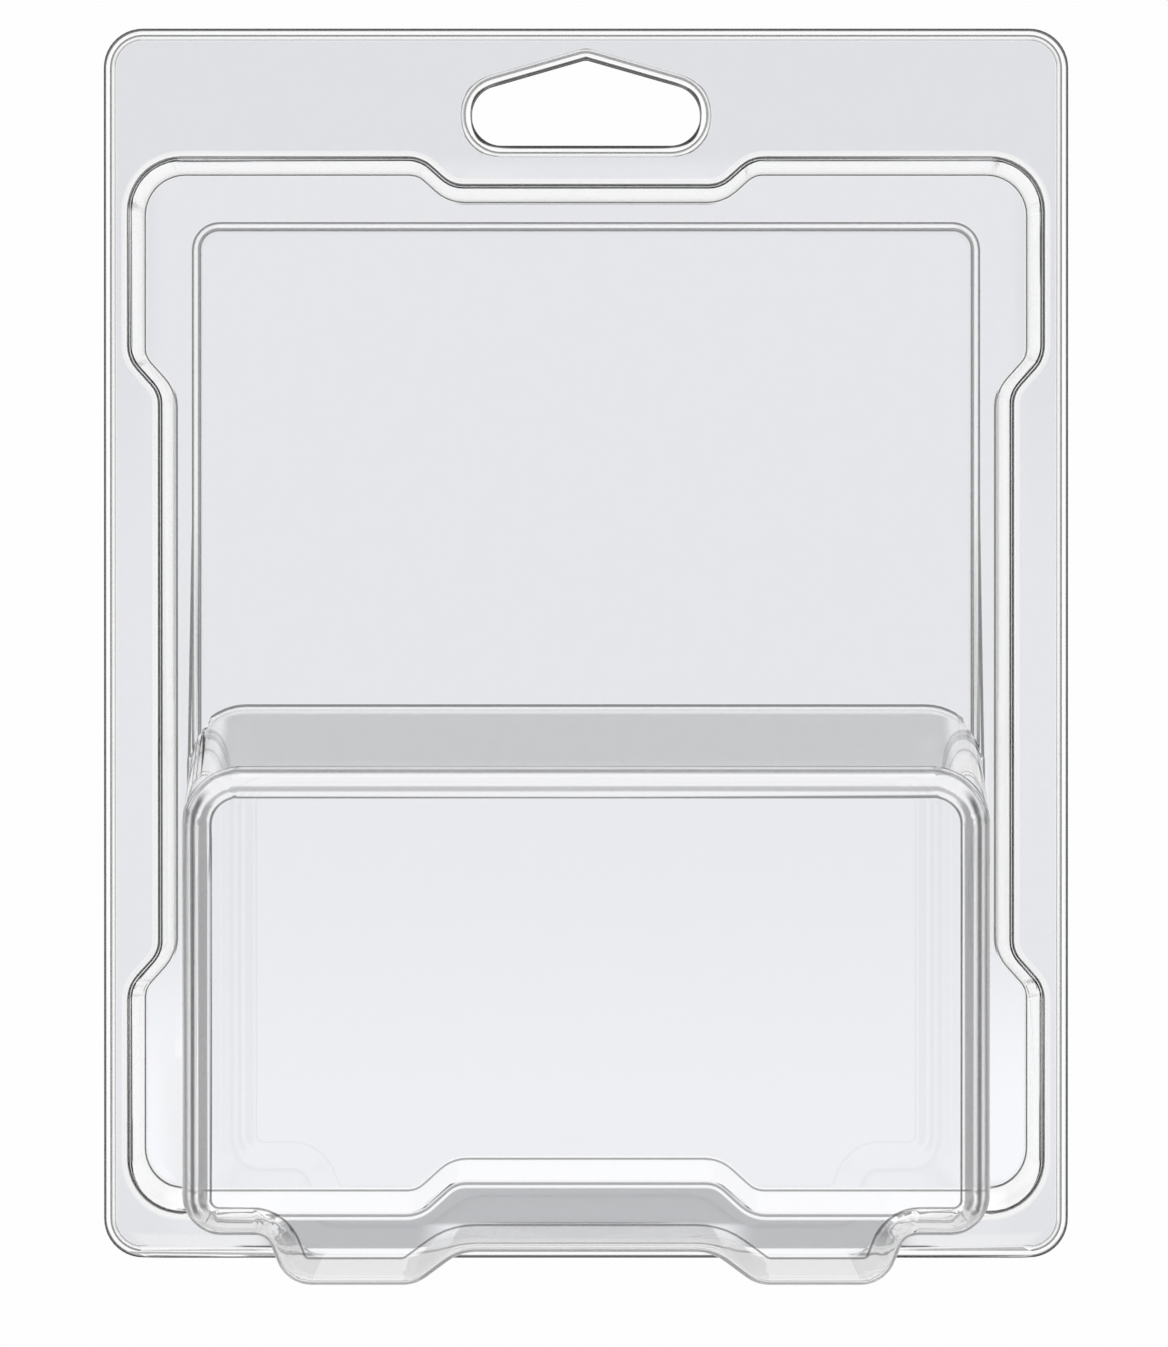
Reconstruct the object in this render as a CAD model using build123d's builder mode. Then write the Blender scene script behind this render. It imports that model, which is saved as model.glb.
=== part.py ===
from build123d import *
from math import cos, hypot, radians, sin, tan
import os

# A clear thermoformed clamshell case that stands on two feet or hangs from a slot. X runs across
# the case, the product bubble faces -Y and +Z is up. Every outline is measured on the front skin,
# and each other surface lies a stated depth behind it, so that the sheet has one thickness.

# Formed sheet
sheet = 0.5
nest_gap = 0.1

# Flange round the case, with a raised bead along its edge; the slot's rim has the bead's slope
flange_width = 150.0
flange_height = 191.2
flange_corner = 6.1
bead_width = 1.8
bead_height = 0.5
bead_draft = 50.0

# Hang slot and its raised rim
slot_width = 35.5
slot_side_height = 8.4
slot_peak_height = 13.5
slot_below_top = 18.2
slot_corner = 4.6
slot_peak_radius = 2.5
rim_width = 1.8
rim_height = 0.5

# Press lock: the step in which the two shells nest
lock_depth = 5.0
lock_draft = 18.0
lock_side_margin = 3.95
lock_top_margin = 20.2
lock_bottom_margin = 7.0
lock_foot_lean = 1.3
lock_corner = 8.1
top_notch_half = 23.4
top_notch_depth = 4.3
bottom_notch_half = 23.4
bottom_notch_depth = 5.0
side_notch_top = 137.4
side_notch_bottom = 44.7
side_notch_depth = 4.8
notch_slope = 42.0
notch_radius = 5.0

# Raised panel with room for an insert card behind it
card_half_width = 61.8
card_below_top = 29.5
card_corner = 4.2
card_step = 1.0
card_draft = 45.0

# Product bubble
bubble_depth = 26.0
bubble_base_half = 62.2
bubble_front_half = 59.7
bubble_base_top = 85.8
bubble_front_top = 76.2
bubble_top_corner = 9.0
bubble_low_corner = 6.1
bubble_edge_radius = 5.0

# Shoulders, feet and the arch under the bubble
shoulder_base_height = 4.6
shoulder_front_height = 7.9
shoulder_radius = 2.5
foot_outer_half = 44.6
foot_outer_slope = 69.0
foot_outer_radius = 5.6
foot_inner_half = 25.3
foot_inner_slope = 36.5
foot_inner_radius = 6.0
arch_height = 4.9
arch_radius = 7.0

# Places along Y, counted from the flange's front skin, and the shift that centres the case
back_depth = lock_depth + 2 * sheet + nest_gap
flange_y = (bubble_depth - back_depth) / 2
block_back = 2 * back_depth
bubble_back = lock_depth + 3 * sheet


def facing(y):
    return Plane.XZ.offset(-(flange_y + y))


def both_sides(right_half):
    """Closes a right half, listed as (x, z, corner radius), with its mirror."""
    left_half = [(-x, z, radius) for x, z, radius in reversed(right_half)]
    return right_half + left_half


def outline(y, corners, growth=0.0):
    """A closed outline of rounded corners on the plane at y, grown by the given distance."""
    with BuildSketch(facing(y)) as sketch:
        with BuildLine():
            points = [(x, z) for x, z, radius in corners]
            FilletPolyline(*points, radius=[radius for x, z, radius in corners], close=True)
        make_face()
        if growth:
            offset(amount=growth, mode=Mode.REPLACE)
    return sketch.sketch


def inset_polygon(plane, points, depth):
    """A sharp-cornered outline on a plane, with every side moved in by depth."""
    with BuildSketch(plane) as sketch:
        with BuildLine():
            Polyline(*points, close=True)
        make_face()
        if depth:
            offset(amount=-depth, kind=Kind.INTERSECTION, mode=Mode.REPLACE)
    return sketch.sketch


def flange_corners():
    half = flange_width / 2
    return both_sides([(half, flange_height, flange_corner), (half, 0, flange_corner)])


def slot_corners():
    """A flat foot, round ends and a roof-shaped top."""
    half = slot_width / 2
    foot = flange_height - slot_below_top
    ends = [(half, foot + slot_side_height, slot_corner), (half, foot, slot_corner)]
    return [(0, foot + slot_peak_height, slot_peak_radius)] + both_sides(ends)


def notch_run(rise):
    """Half the length, along the outline, of the slanted line that makes one notch shoulder."""
    return rise / tan(radians(notch_slope)) / 2


def lock_corners(foot_lean=0.0):
    """The press lock's outline: a rounded rectangle notched at the middle of all four sides."""
    side = flange_width / 2 - lock_side_margin
    waist = side - side_notch_depth
    top = flange_height - lock_top_margin
    foot = lock_bottom_margin + foot_lean
    top_run = notch_run(top_notch_depth)
    side_run = notch_run(side_notch_depth)
    bottom_run = notch_run(bottom_notch_depth)
    right_half = [
        (top_notch_half - top_run, top - top_notch_depth, notch_radius),
        (top_notch_half + top_run, top, notch_radius),
        (side, top, lock_corner),
        (side, side_notch_top + side_run, notch_radius),
        (waist, side_notch_top - side_run, notch_radius),
        (waist, side_notch_bottom + side_run, notch_radius),
        (side, side_notch_bottom - side_run, notch_radius),
        (side, foot, lock_corner),
        (bottom_notch_half + bottom_run, foot, notch_radius),
        (bottom_notch_half - bottom_run, foot + bottom_notch_depth, notch_radius),
    ]
    return both_sides(right_half)


def card_corners():
    """The raised panel, whose foot is lost inside the bubble."""
    top = flange_height - card_below_top
    foot = bubble_front_top / 2
    return both_sides([(card_half_width, top, card_corner), (card_half_width, foot, card_corner)])


def drafted(depth, draft):
    """How far a drafted wall moves out on a plane that sinks by depth together with the wall."""
    slope = radians(draft)
    return depth * (1 - sin(slope)) / cos(slope)


def block_behind(depth):
    """All that lies behind the flange and the press lock, depth below the front skin."""
    growth = drafted(depth, lock_draft)
    run = lock_depth * tan(radians(lock_draft))
    with BuildPart() as block:
        with BuildSketch(facing(block_back)):
            with Locations((0, flange_height / 2)):
                Rectangle(flange_width * 2, flange_height * 2)
        extrude(amount=block_back - depth)
        add(outline(depth, lock_corners(), growth))
        add(outline(depth + lock_depth, lock_corners(lock_foot_lean), growth - run))
        loft(ruled=True, mode=Mode.SUBTRACT)
    return block.part


def card_panel_behind(depth):
    """The raised panel, depth below its front skin, down to the floor of the press lock."""
    growth = -drafted(depth, card_draft)
    run = card_step * tan(radians(card_draft))
    with BuildPart() as panel:
        add(outline(lock_depth + depth, card_corners(), growth))
        add(outline(lock_depth + depth - card_step, card_corners(), growth - run))
        loft(ruled=True)
    return panel.part


def bubble_size(y, base, front):
    """A size of the bubble at y, on the straight wall from the lock's floor to the front."""
    return base + (front - base) * (lock_depth - y) / (lock_depth + bubble_depth)


def bubble_behind(depth):
    """The space inside the bubble and its feet, depth below the front skin."""
    front_y = flange_y - bubble_depth
    back_y = flange_y + bubble_back
    back_half = bubble_size(bubble_back, bubble_base_half, bubble_front_half)
    side_view = [
        (back_y, bubble_size(bubble_back, shoulder_base_height, shoulder_front_height)),
        (back_y, bubble_size(bubble_back, bubble_base_top, bubble_front_top)),
        (front_y, bubble_front_top),
        (front_y, shoulder_front_height),
    ]
    plan_view = [
        (-back_half, back_y),
        (back_half, back_y),
        (bubble_front_half, front_y),
        (-bubble_front_half, front_y),
    ]
    feet_reach = 2 * shoulder_front_height
    feet_half = foot_outer_half + feet_reach / tan(radians(foot_outer_slope))
    shoulder_half = foot_outer_half + shoulder_front_height / tan(radians(foot_outer_slope))
    arch_half = foot_inner_half - arch_height / tan(radians(foot_inner_slope))
    right_foot = [
        (feet_half, feet_reach),
        (foot_outer_half, 0),
        (foot_inner_half, 0),
        (arch_half, arch_height),
    ]
    left_foot = [(-x, z) for x, z in reversed(right_foot)]
    with BuildPart() as bubble:
        extrude(inset_polygon(Plane.YZ, side_view, depth), amount=back_half, both=True)
        extrude(
            inset_polygon(Plane.XY, plan_view, depth),
            amount=bubble_base_top * 2,
            mode=Mode.INTERSECT,
        )
        extrude(
            inset_polygon(facing(bubble_back - depth), right_foot + left_foot, depth),
            amount=bubble_back + bubble_depth - 2 * depth,
        )

        def corners_near(x, z):
            """The mirrored pair of edges that run from back to front nearest to x and z."""
            runs = bubble.edges().filter_by(lambda edge: abs((edge % 0.5).Y) > 0.8)
            return runs.sort_by(lambda edge: hypot(abs((edge @ 0.5).X) - x, (edge @ 0.5).Z - z))[:2]

        fillet(corners_near(bubble_front_half, bubble_front_top), bubble_top_corner - depth)
        fillet(corners_near(bubble_front_half, shoulder_front_height), bubble_low_corner - depth)
        fillet(corners_near(shoulder_half, shoulder_front_height), shoulder_radius + depth)
        fillet(corners_near(foot_outer_half, 0), foot_outer_radius - depth)
        fillet(corners_near(foot_inner_half, 0), foot_inner_radius - depth)
        fillet(corners_near(arch_half, arch_height), arch_radius + depth)
        front = bubble.faces().sort_by(Axis.Y)[0]
        fillet(front.edges(), bubble_edge_radius - depth)
    return bubble.part


def front_behind(depth):
    """All that lies behind the front shell's surface, depth below its front skin."""
    growth = drafted(depth, bead_draft)
    with BuildPart() as behind:
        add(block_behind(depth))
        with BuildSketch(facing(depth)):
            with Locations((0, flange_height / 2)):
                Rectangle(flange_width * 2, flange_height * 2)
            add(outline(depth, flange_corners(), growth - bead_width), mode=Mode.SUBTRACT)
        extrude(amount=bead_height, taper=bead_draft)
        extrude(outline(depth, slot_corners(), rim_width - growth), amount=rim_height, taper=bead_draft)
        add(card_panel_behind(depth))
        add(bubble_behind(depth))
    return behind.part


flange = outline(0, flange_corners())
slot = outline(0, slot_corners())

with BuildPart() as front_shell:
    add(front_behind(0))
    add(front_behind(sheet), mode=Mode.SUBTRACT)
    extrude(flange, amount=block_back + bubble_depth, both=True, mode=Mode.INTERSECT)
    extrude(slot, amount=block_back, both=True, mode=Mode.SUBTRACT)

with BuildPart() as back_shell:
    add(block_behind(sheet + nest_gap))
    add(block_behind(2 * sheet + nest_gap), mode=Mode.SUBTRACT)
    extrude(flange, amount=block_back, both=True, mode=Mode.INTERSECT)
    extrude(slot, amount=block_back, both=True, mode=Mode.SUBTRACT)

os.makedirs("parts", exist_ok=True)
front_shell.part.label = "front_shell"
export_step(front_shell.part, "parts/front_shell.step")
back_shell.part.label = "back_shell"
export_step(back_shell.part, "parts/back_shell.step")
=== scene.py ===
import bpy
import bmesh
from math import degrees, hypot, radians
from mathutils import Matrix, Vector


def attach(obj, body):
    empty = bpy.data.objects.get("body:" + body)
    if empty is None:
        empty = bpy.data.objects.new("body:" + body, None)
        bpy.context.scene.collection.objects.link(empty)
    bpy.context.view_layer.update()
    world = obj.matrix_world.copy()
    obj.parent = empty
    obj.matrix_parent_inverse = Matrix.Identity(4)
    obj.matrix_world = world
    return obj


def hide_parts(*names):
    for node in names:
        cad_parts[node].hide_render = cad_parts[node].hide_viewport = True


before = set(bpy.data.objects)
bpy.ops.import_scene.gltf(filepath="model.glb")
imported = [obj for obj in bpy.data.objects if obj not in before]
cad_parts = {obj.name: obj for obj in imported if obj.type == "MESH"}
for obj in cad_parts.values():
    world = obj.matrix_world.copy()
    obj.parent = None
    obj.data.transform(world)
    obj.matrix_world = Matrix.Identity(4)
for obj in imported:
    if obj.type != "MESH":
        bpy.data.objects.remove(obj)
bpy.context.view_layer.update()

scene = bpy.context.scene
mm = 0.001


# a shader socket; expressions on it add their Math nodes
class Signal:
    def __init__(self, tree, socket=None):
        self.tree = tree
        self.socket = socket

    def add(self, kind, settings=(), values=(), output=0):
        node = self.tree.nodes.new(kind)
        for name, value in dict(settings).items():
            if name == "stops":
                points = node.color_ramp.elements
                points.remove(points[1])
                points[0].position = value[0][0]
                points[0].color = (value[0][1],) * 3 + (1,)
                for place, tone in value[1:]:
                    points.new(place).color = (tone, tone, tone, 1)
            else:
                setattr(node, name, value)
        for name, value in dict(values).items():
            if isinstance(value, Signal):
                self.tree.links.new(value.socket, node.inputs[name])
            else:
                node.inputs[name].default_value = value
        return Signal(self.tree, node.outputs[output])

    def math(self, operation, first, second=0.0, third=0.0):
        return self.add("ShaderNodeMath", {"operation": operation}, {0: first, 1: second, 2: third})

    def __add__(self, other):
        return self.math("ADD", self, other)

    def __radd__(self, other):
        return self.math("ADD", other, self)

    def __sub__(self, other):
        return self.math("SUBTRACT", self, other)

    def __rsub__(self, other):
        return self.math("SUBTRACT", other, self)

    def __mul__(self, other):
        return self.math("MULTIPLY", self, other)

    def __rmul__(self, other):
        return self.math("MULTIPLY", other, self)

    def size(self):
        return self.math("ABSOLUTE", self)

    def root(self):
        return self.math("SQRT", self)

    def larger(self, other):
        return self.math("MAXIMUM", self, other)

    # goes smoothly from 0 at low to 1 at high
    def rise(self, low, high):
        limits = {"Value": self, "From Min": low, "From Max": high}
        return self.add("ShaderNodeMapRange", {"interpolation_type": "SMOOTHSTEP"}, limits)

    def ramp(self, stops):
        return self.add("ShaderNodeValToRGB", {"stops": stops}, {0: self})

    def toward(self, other, share):
        return self + (other - self) * share

    def parts(self):
        outputs = self.add("ShaderNodeSeparateXYZ", {}, {0: self}).socket.node.outputs
        return [Signal(self.tree, output) for output in outputs]


# painted light and shade: the sheet's tone follows slope and place, with painted dark lines and painted highlight
# bands on walls and roundings, and a grey tint on flats;
# a ramp's stops are the slope, from 0 on a flat to 1 on a wall, and the tone there
clearSheet = {
    "flatTint": (0.998, 1.002, 1.022),
    "indexOfRefraction": 1.57,
    "flat": 0.888,
    # painted shade: the upper flange and the flange's foot are darker than the other flats
    "flangeTop": 0.86,
    "flangeFoot": 0.87,
    # painted highlight at the pocket's foot
    "pocketFoot": 0.97,
    # painted shade on the back shell's flat under the bubble
    "underBubble": 0.46,
    # painted light: the bubble's face is darker at its top and lighter at its foot
    "faceTop": 0.92,
    "faceFoot": 0.965,
    # painted highlights: the bubble's top corners, the lock wall and the tops of the bead and slot rim are clear
    # white
    "corner": 1.0,
    "raised": 1.0,
    # painted dark lines on the cut edges and on the back shell's walls, the latter stronger near the notch
    "cutEdge": 0.06,
    "backLines": 0.1,
    "notchLines": 0.85,
    # painted dark lines and painted highlight bands by slope, on the lock walls and rims and on the bubble's sides,
    # top and foot
    "wallStops": [(0.0, 0.89), (0.15, 0.89), (0.24, 1.0), (0.38, 1.0), (0.44, 0.06), (0.56, 0.06), (0.62, 1.0)],
    "rimStops": [(0.0, 1.0), (0.06, 1.0), (0.12, 0.25), (0.48, 0.25), (0.56, 1.0), (0.7, 1.0), (0.8, 0.1)],
    "sideStops": [
        (0.0, 0.2), (0.06, 0.2), (0.09, 1.0), (0.13, 0.95), (0.18, 0.42), (0.4, 0.4), (0.45, 1.0), (0.53, 0.9),
        (0.59, 0.16), (0.66, 0.16), (0.7, 0.9), (0.8, 0.75), (0.85, 0.14), (0.92, 0.16), (0.96, 0.9),
    ],
    "topStops": [
        (0.0, 0.3), (0.05, 0.3), (0.08, 1.0), (0.2, 1.0), (0.25, 0.58), (0.35, 0.6), (0.4, 1.0),
        (0.74, 1.0), (0.8, 0.3), (0.86, 0.35), (0.895, 1.0), (0.92, 1.0), (0.935, 0.4), (0.952, 0.66),
    ],
    "footStops": [
        (0.0, 0.3), (0.05, 0.3), (0.09, 1.0), (0.6, 0.97), (0.9, 0.9), (0.925, 0.02), (0.985, 0.02), (0.995, 0.9),
    ],
}

# where those tones lie, in millimetres across from the middle, back, up from the foot, and out past
# the rim of the flange or the slot; lean is 1 where a surface faces up or down and 0 where it faces
# sideways; each pair rises from 0 to 1 between its values, and a pair that counts down falls
sheetZones = {
    "flat": {"slope": [(0.02, 0.004)]},
    "besideLock": {"across": [(66, 70)]},
    "aboveLock": {"up": [(169, 172)]},
    "upperFlange": {"up": [(100, 155)]},
    "flangeFoot": {"up": [(20, 3)], "across": [(62, 68)]},
    "pocketFoot": {"across": [(61, 63), (71, 69)], "up": [(60, 22), (9, 12)], "back": [(13, 13.5)]},
    "underBubble": {"across": [(52, 46)], "up": [(13.5, 12.5)], "back": [(12, 11.5)]},
    "arch": {"across": [(27, 20)], "up": [(5.4, 4.6)]},
    "notch": {"across": [(62, 60)], "up": [(70, 60)]},
    "card": {"across": [(65, 64.5)], "up": [(165, 164.5), (30, 31)], "back": [(13, 13.3)]},
    "lockWall": {"back": [(10.25, 10.4), (14.6, 14.5)]},
    "bead": {"pastFlange": [(-1.55, -1.45)]},
    "beadTop": {"pastFlange": [(-1.35, -1.15)]},
    "flangeCut": {"pastFlange": [(-0.28, -0.16)]},
    "slotRim": {"pastSlot": [(1.55, 1.45)]},
    "slotRimTop": {"pastSlot": [(1.3, 1.1)]},
    "slotCut": {"pastSlot": [(0.4, 0.25)]},
    "faceHeight": {"up": [(20, 70)]},
    "facingUpright": {"lean": [(0.45, 0.8)]},
    "roof": {"up": [(50, 62)]},
    "bubbleFoot": {"up": [(26, 18)]},
    "feet": {"up": [(10, 6)]},
    "topCorner": {"lean": [(0.15, 0.4), (0.97, 0.88)], "slope": [(0.88, 0.93)], "up": [(50, 62)]},
    "root": {"back": [(11, 12)]},
}
flangeShape = {"halfWidth": 75.0, "height": 191.2, "corner": 6.1}
slotShape = {
    "halfWidth": 17.75,
    "foot": 173.0,
    "shoulder": 181.4,
    "peak": 186.5,
    "shoulderBlend": 5.6,
    "footBlend": 8.0,
}


# how far a point lies outside the flange's rounded outline
def outsideFlange(x, z, shape):
    middle = shape["height"] / 2
    across = x - (shape["halfWidth"] - shape["corner"])
    along = (z - middle).size() - (middle - shape["corner"])
    outAcross = across.larger(0.0)
    outAlong = along.larger(0.0)
    corner = (outAcross * outAcross + outAlong * outAlong).root()
    inner = x.math("MINIMUM", across.larger(along), 0.0)
    return corner + inner - shape["corner"]


# and outside the hang slot, a box with a roof
def outsideSlot(x, z, shape):
    rise = shape["peak"] - shape["shoulder"]
    run = shape["halfWidth"]
    slant = hypot(rise, run)
    roof = (x - run) * (rise / slant) + (z - shape["shoulder"]) * (run / slant)
    slot = x.math("SMOOTH_MAX", x - run, roof, shape["shoulderBlend"])
    return x.math("SMOOTH_MAX", slot, shape["foot"] - z, shape["footBlend"])


# the bubble has its own painted dark lines and highlight bands on its sides, its top and its foot, painted
# highlights at its top corners and root, and a face painted darker at its top and lighter at its foot
def bubbleTones(zone, slope, look):
    upright = zone("facingUpright")
    low = upright.larger(zone("feet")) * zone("bubbleFoot")
    paintedBands = slope.ramp(look["sideStops"]).toward(slope.ramp(look["topStops"]), upright * zone("roof"))
    paintedBands = paintedBands.toward(slope.ramp(look["footStops"]), low)
    paintedBands = paintedBands.toward(look["corner"], zone("topCorner")).toward(look["corner"], zone("root"))
    flat = zone("faceHeight") * (look["faceTop"] - look["faceFoot"]) + look["faceFoot"]
    return paintedBands, flat


# painted dark lines and highlight bands: the back shell's lines show through the bubble, and hardly through the
# front panel; its flat under the bubble is painted shade, except at the arch
def backTones(zone, slope, flat, look):
    flat = flat.toward(look["underBubble"], zone("underBubble") * (1 - zone("arch")))
    lines = zone("notch") * (look["notchLines"] - look["backLines"])
    paintedBands = slope.ramp(look["wallStops"]).toward(look["raised"], 1 - look["backLines"] - lines)
    return paintedBands, flat


def panelTones(zone, slope, flat, look):
    # painted highlight on the lock wall; painted dark lines and highlight bands on the card step, bead and slot rim
    paintedBands = slope.ramp(look["wallStops"]).toward(look["raised"], zone("lockWall"))
    rims = zone("card").larger(zone("bead").larger(zone("slotRim")))
    return paintedBands.toward(slope.ramp(look["rimStops"]), rims), flat


def makeClearSheet(part, look, zones):
    material = bpy.data.materials.new("clearSheet" + part)
    material.use_nodes = True
    tree = material.node_tree
    shader = tree.nodes["Principled BSDF"]
    start = Signal(tree)
    coordinates = start.add("ShaderNodeTexCoord", output="Object")
    normal = Signal(tree, coordinates.socket.node.outputs["Normal"])
    x, y, z = coordinates.parts()
    x, y, z = x.size() * 1000, y * 1000, z * 1000
    normalX, normalY, normalZ = normal.parts()
    # the sine of the angle between the surface and the flange
    slope = (1 - normalY * normalY).larger(0.0).root()
    places = {"across": x, "back": y, "up": z, "slope": slope}
    if part == "Bubble":
        places["lean"] = start.math("DIVIDE", normalZ.size(), slope + 0.001)
    else:
        places["pastFlange"] = outsideFlange(x, z, flangeShape)
        places["pastSlot"] = outsideSlot(x, z, slotShape)

    # how much of a zone a point is in, from 0 to 1
    def zone(name):
        share = None
        for place, pairs in zones[name].items():
            for first, last in pairs:
                low, high = sorted((first, last))
                step = places[place].rise(low, high)
                step = step if first < last else 1 - step
                share = step if share is None else share * step
        return share

    if part == "Bubble":
        paintedBands, flat = bubbleTones(zone, slope, look)
    else:
        # painted shade on the upper flange and the flange's foot, and a painted highlight at the pocket's foot
        flangeTop = zone("aboveLock").larger(zone("besideLock")) * zone("upperFlange")
        flat = flangeTop * (look["flangeTop"] - look["flat"]) + look["flat"]
        flat = flat.toward(look["flangeFoot"], zone("flangeFoot"))
        flat = flat.toward(look["pocketFoot"], zone("pocketFoot"))
        tonesOf = backTones if part == "Back" else panelTones
        paintedBands, flat = tonesOf(zone, slope, flat, look)
        # painted highlights on the tops of the bead and the slot rim
        flat = flat.toward(look["raised"], zone("beadTop").larger(zone("slotRimTop")))
    onFlat = zone("flat")
    tone = paintedBands.toward(flat, onFlat)
    if part != "Bubble":
        # painted dark line along the cut edges of the flange and the slot
        tone = tone.toward(look["cutEdge"], zone("flangeCut").larger(zone("slotCut")))
    channels = zip(("Red", "Green", "Blue"), look["flatTint"])
    values = {name: tone * (onFlat * (amount - 1) + 1) for name, amount in channels}
    color = start.add("ShaderNodeCombineColor", {}, values)
    tree.links.new(color.socket, shader.inputs["Base Color"])
    shader.inputs["IOR"].default_value = look["indexOfRefraction"]
    shader.inputs["Roughness"].default_value = 0
    shader.inputs["Transmission Weight"].default_value = 1
    return material


# how far each crisp edge of a shell is rounded, in millimetres
edgeRounding = {
    "lip": 0.94,
    "lipBehind": 0.58,
    "floor": 0.5,
    "floorBehind": 0.86,
    "cardEdge": 0.45,
    "cardEdgeBehind": 0.25,
    "root": 0.65,
    "rootBehind": 1.05,
    "bead": 0.25,
    "beadFoot": 0.12,
    "beadFootBehind": 0.28,
    "trim": 0.2,
}

# what tells those edges apart: turns in degrees, and millimetres behind the front skin, across or up
shellShape = {
    "crispTurn": 30,
    "steepTurn": 50,
    "wallTurns": (55, 77),
    "cutTurn": 87,
    "sheet": 0.5,
    "beadHeight": 0.5,
    "lockFloor": 3.9,
    "lockBack": 5.5,
    "bubbleHalf": 64,
    "bubbleTop": 88,
    "feetTop": 3,
    "shouldersTop": 16,
    "cornersFrom": (59, 78),
    "segments": 4,
    "cuts": [((0, 0, 0), (1, 0, 0)), ((0, 0, 178), (0, 0, 1)), ((0, 0, 120), (0, 0, 1)), ((0, 0, 60), (0, 0, 1))],
}
shells = {
    "front": {"node": "front_shell", "piece": "frontShell", "skin": 9.95, "sheets": ("Panel", "Bubble")},
    "back": {"node": "back_shell", "piece": "backShell", "skin": 10.55, "sheets": ("Back",)},
}


def roundingOf(edge, skin, hasBubble, shape, rounding):
    depths = [vert.co.y / mm - skin for vert in edge.verts]
    if abs(depths[0] - depths[1]) > 0.01 or not edge.is_manifold:
        return 0
    turn = degrees(edge.calc_face_angle_signed())
    convex = turn > 0
    turn = abs(turn)
    depth = round(depths[0] * 2) / 2
    if turn < shape["crispTurn"] or abs(depths[0] - depth) > 0.03:
        return 0
    middle = (edge.verts[0].co + edge.verts[1].co) / 2 / mm
    across = abs(middle.x)
    nearBubble = hasBubble and across < shape["bubbleHalf"]
    atLockFloor = depth >= shape["lockFloor"]
    if nearBubble and not atLockFloor and middle.z < shape["feetTop"]:
        return 0

    # the flange's cut rim, its bead and the lip of the lock step
    gentle = turn < shape["steepTurn"]
    onWall = shape["wallTurns"][0] < turn < shape["wallTurns"][1]
    if turn > shape["cutTurn"] and convex and depth <= shape["sheet"]:
        return rounding["trim"]
    if depth == -shape["beadHeight"] and gentle and convex:
        return rounding["bead"]
    if depth == 0 and gentle and not convex:
        return rounding["beadFoot"]
    if depth == shape["sheet"] and gentle and convex:
        return rounding["beadFootBehind"]
    if depth == 0 and convex and onWall:
        return rounding["lip"]
    if depth == shape["sheet"] and not convex and onWall:
        return rounding["lipBehind"]
    if not atLockFloor:
        return 0

    # the lock's floor, the card panel and the bubble's root
    onSkin = depth == int(depth)
    atBubble = nearBubble and middle.z < shape["bubbleTop"]
    atCorner = across > shape["cornersFrom"][0] and middle.z > shape["cornersFrom"][1]
    if atBubble and (middle.z < shape["shouldersTop"] or atCorner):
        return 0
    if gentle:
        return rounding["cardEdge"] if convex else rounding["cardEdgeBehind"]
    if atBubble:
        return rounding["root"] if onSkin else rounding["rootBehind"]
    return rounding["floor"] if onSkin else rounding["floorBehind"]


def onLockWall(face, skin, hasBubble, shape):
    middle = face.calc_center_median() / mm
    atBubble = hasBubble and abs(middle.x) < shape["bubbleHalf"] and middle.z < shape["bubbleTop"]
    return 0 < middle.y - skin < shape["lockBack"] and abs(face.normal.y) < 0.6 and not atBubble


def shellPiece(body, values, shape, rounding):
    skin = values["skin"]
    hasBubble = "Bubble" in values["sheets"]
    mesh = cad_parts[values["node"]].data.copy()
    work = bmesh.new()
    work.from_mesh(mesh)
    bmesh.ops.remove_doubles(work, verts=work.verts, dist=0.001 * mm)
    bmesh.ops.dissolve_limit(work, angle_limit=radians(0.2), verts=work.verts, edges=work.edges)
    # the lock's walls need fewer facets than the CAD gives them
    wallFaces = {face for face in work.faces if onLockWall(face, skin, hasBubble, shape)}
    wallEdges = [edge for edge in work.edges if wallFaces.issuperset(edge.link_faces)]
    wallVerts = list({vert for edge in wallEdges for vert in edge.verts if set(vert.link_edges) <= set(wallEdges)})
    bmesh.ops.dissolve_limit(work, angle_limit=radians(5), verts=wallVerts, edges=wallEdges)
    # flats with holes in them are cut into plain outlines
    for place, direction in shape["cuts"]:
        everything = [*work.verts, *work.edges, *work.faces]
        point = [value * mm for value in place]
        bmesh.ops.bisect_plane(work, geom=everything, dist=0.001 * mm, plane_co=point, plane_no=direction)
    widest = max(rounding.values())
    weights = work.edges.layers.float.new("bevel_weight_edge")
    bubbleFront = skin - shape["beadHeight"] - 0.1
    for face in work.faces:
        face.smooth = True
        face.material_index = 1 if hasBubble and face.calc_center_median().y / mm < bubbleFront else 0
    for edge in work.edges:
        edge[weights] = roundingOf(edge, skin, hasBubble, shape, rounding) / widest
        rounded = edge[weights] > 0 or not edge.is_manifold
        edge.smooth = rounded or edge.calc_face_angle() < radians(shape["crispTurn"])
    mesh.clear_geometry()
    mesh.materials.clear()
    for sheet in values["sheets"]:
        mesh.materials.append(makeClearSheet(sheet, clearSheet, sheetZones))
    work.to_mesh(mesh)
    work.free()
    if "custom_normal" in mesh.attributes:
        mesh.attributes.remove(mesh.attributes["custom_normal"])
    piece = bpy.data.objects.new(values["piece"], mesh)
    scene.collection.objects.link(piece)
    bevel = piece.modifiers.new("roundEdges", "BEVEL")
    bevel.limit_method = "WEIGHT"
    bevel.width = widest * mm
    bevel.segments = shape["segments"]
    bevel.loop_slide = False
    bevel.use_clamp_overlap = False
    bevel.harden_normals = False
    normals = piece.modifiers.new("evenNormals", "WEIGHTED_NORMAL")
    normals.keep_sharp = True
    normals.weight = 100
    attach(piece, body)
    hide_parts(values["node"])
    return piece


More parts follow.
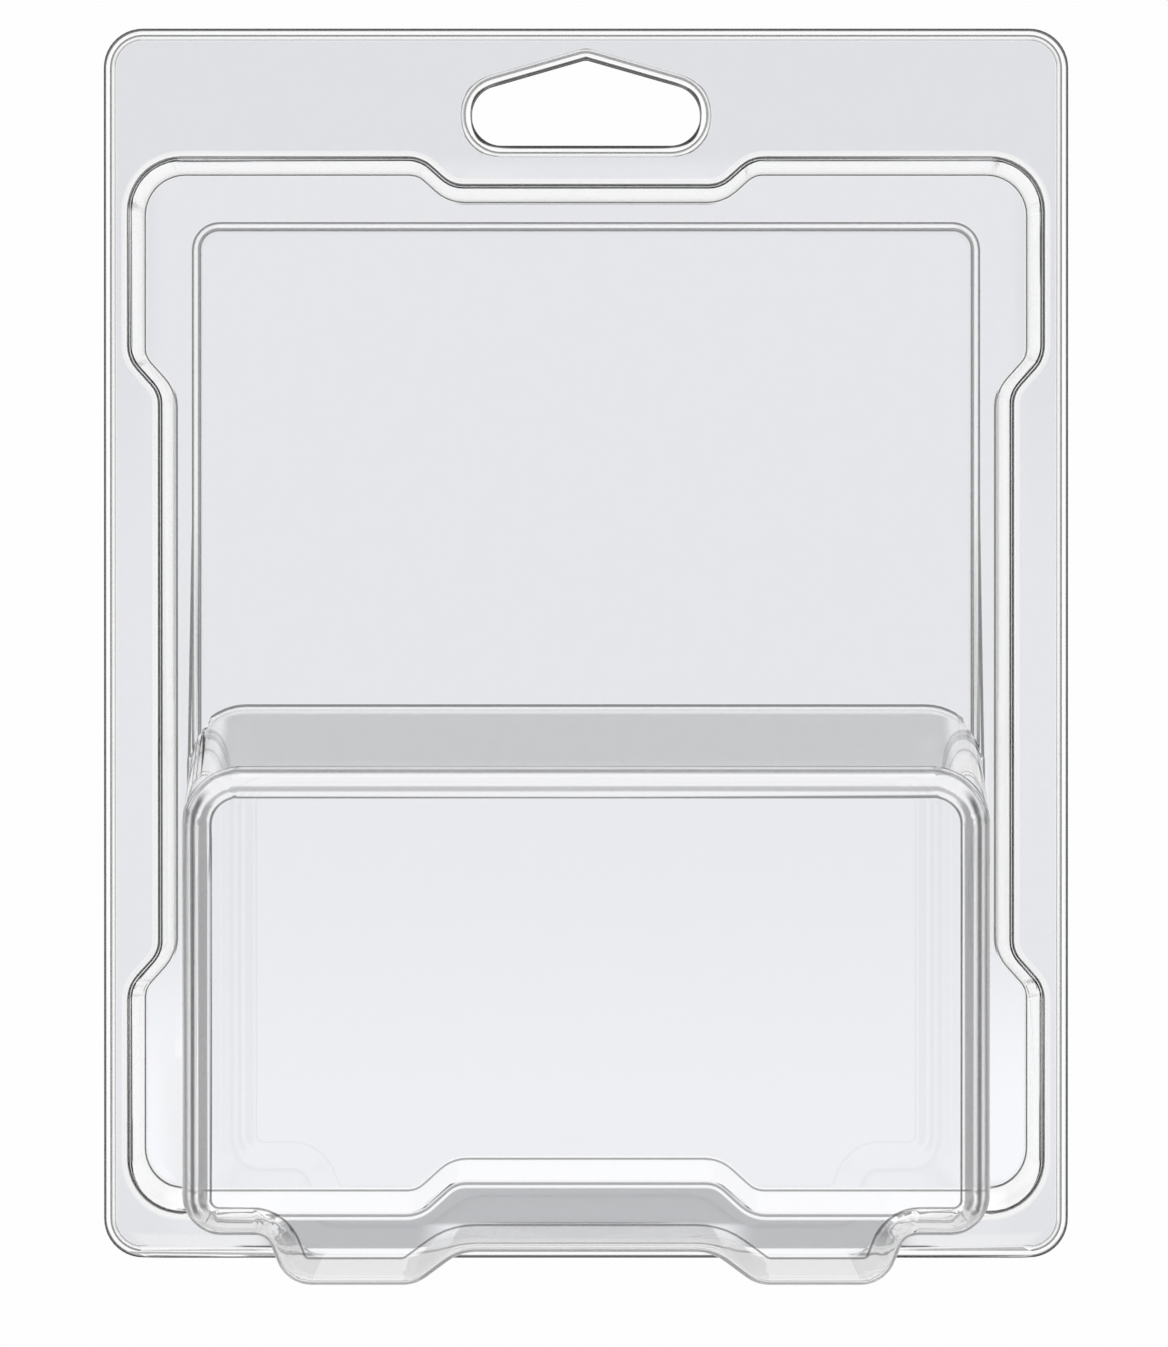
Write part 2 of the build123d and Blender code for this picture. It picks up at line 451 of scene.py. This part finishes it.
for body, values in shells.items():
    shellPiece(body, values, shellShape, edgeRounding)
print("shells made")


paleFloor = {"radius": 8.0, "segments": 96, "color": (0.0, 0.0, 0.0), "glow": 0.99}


def makeFloor(values):
    work = bmesh.new()
    bmesh.ops.create_circle(work, cap_ends=True, segments=values["segments"], radius=values["radius"])
    mesh = bpy.data.meshes.new("floor")
    work.to_mesh(mesh)
    work.free()
    floor = bpy.data.objects.new("floor", mesh)
    scene.collection.objects.link(floor)
    material = bpy.data.materials.new("paleFloor")
    material.use_nodes = True
    shader = material.node_tree.nodes["Principled BSDF"]
    shader.inputs["Base Color"].default_value = (*values["color"], 1)
    shader.inputs["Roughness"].default_value = 0.9
    shader.inputs["Specular IOR Level"].default_value = 0
    shader.inputs["Emission Color"].default_value = (1, 1, 1, 1)
    shader.inputs["Emission Strength"].default_value = values["glow"]
    mesh.materials.append(material)
    return floor


# angles are degrees from straight behind the case, and above the floor
studio = {
    "white": 0.99,
    "softness": 2.5,
    "ring": (22, 37),
    "ringGlow": 0.8,
    "sides": (70, 115),
    "sideGlow": 0.92,
}


def makeWorld(values):
    world = bpy.data.worlds.new("studio")
    scene.world = world
    world.use_nodes = True
    tree = world.node_tree
    tree.nodes.clear()
    start = Signal(tree)
    x, y, z = start.add("ShaderNodeTexCoord").parts()
    angle = start.math("ARCCOSINE", y) * degrees(1)
    soft = values["softness"]

    def between(low, high):
        return angle.rise(low - soft, low + soft) * (1 - angle.rise(high - soft, high + soft))

    glow = between(*values["ring"]) * (values["ringGlow"] - values["white"]) + values["white"]
    glow = glow.toward(values["sideGlow"], between(*values["sides"]))
    # the camera itself sees plain white
    glow = glow.toward(values["white"], start.add("ShaderNodeLightPath"))
    shine = start.add("ShaderNodeBackground", {}, {"Color": (1, 1, 1, 1), "Strength": glow})
    out = tree.nodes.new("ShaderNodeOutputWorld")
    tree.links.new(shine.socket, out.inputs["Surface"])


makeFloor(paleFloor)
makeWorld(studio)
scene.view_settings.view_transform = "Standard"
print("studio made")


cameraView = {"across": -0.00031, "distance": 0.46689, "height": 0.0919, "pitch": 0.12, "lens": 81.86, "sensor": 36}


def makeCamera(values):
    data = bpy.data.cameras.new("camera")
    data.lens = values["lens"]
    data.sensor_width = values["sensor"]
    data.clip_start = 0.01
    camera = bpy.data.objects.new("camera", data)
    camera.location = (values["across"], -values["distance"], values["height"])
    camera.rotation_euler = (radians(90 - values["pitch"]), 0, 0)
    scene.collection.objects.link(camera)
    scene.camera = camera


makeCamera(cameraView)

overheadLight = {"place": (0, 0.2, 1.6), "aim": (0, 0, 0.1), "size": 1.0, "power": 2}


def makeSoftLight(name, values):
    data = bpy.data.lights.new(name, "AREA")
    data.size = values["size"]
    data.energy = values["power"]
    lamp = bpy.data.objects.new(name, data)
    lamp.location = values["place"]
    aim = Vector(values["aim"]) - lamp.location
    lamp.rotation_euler = aim.to_track_quat("-Z", "Y").to_euler()
    scene.collection.objects.link(lamp)
    lamp.visible_camera = False
    return lamp


makeSoftLight("overhead", overheadLight)
print("camera and light made")
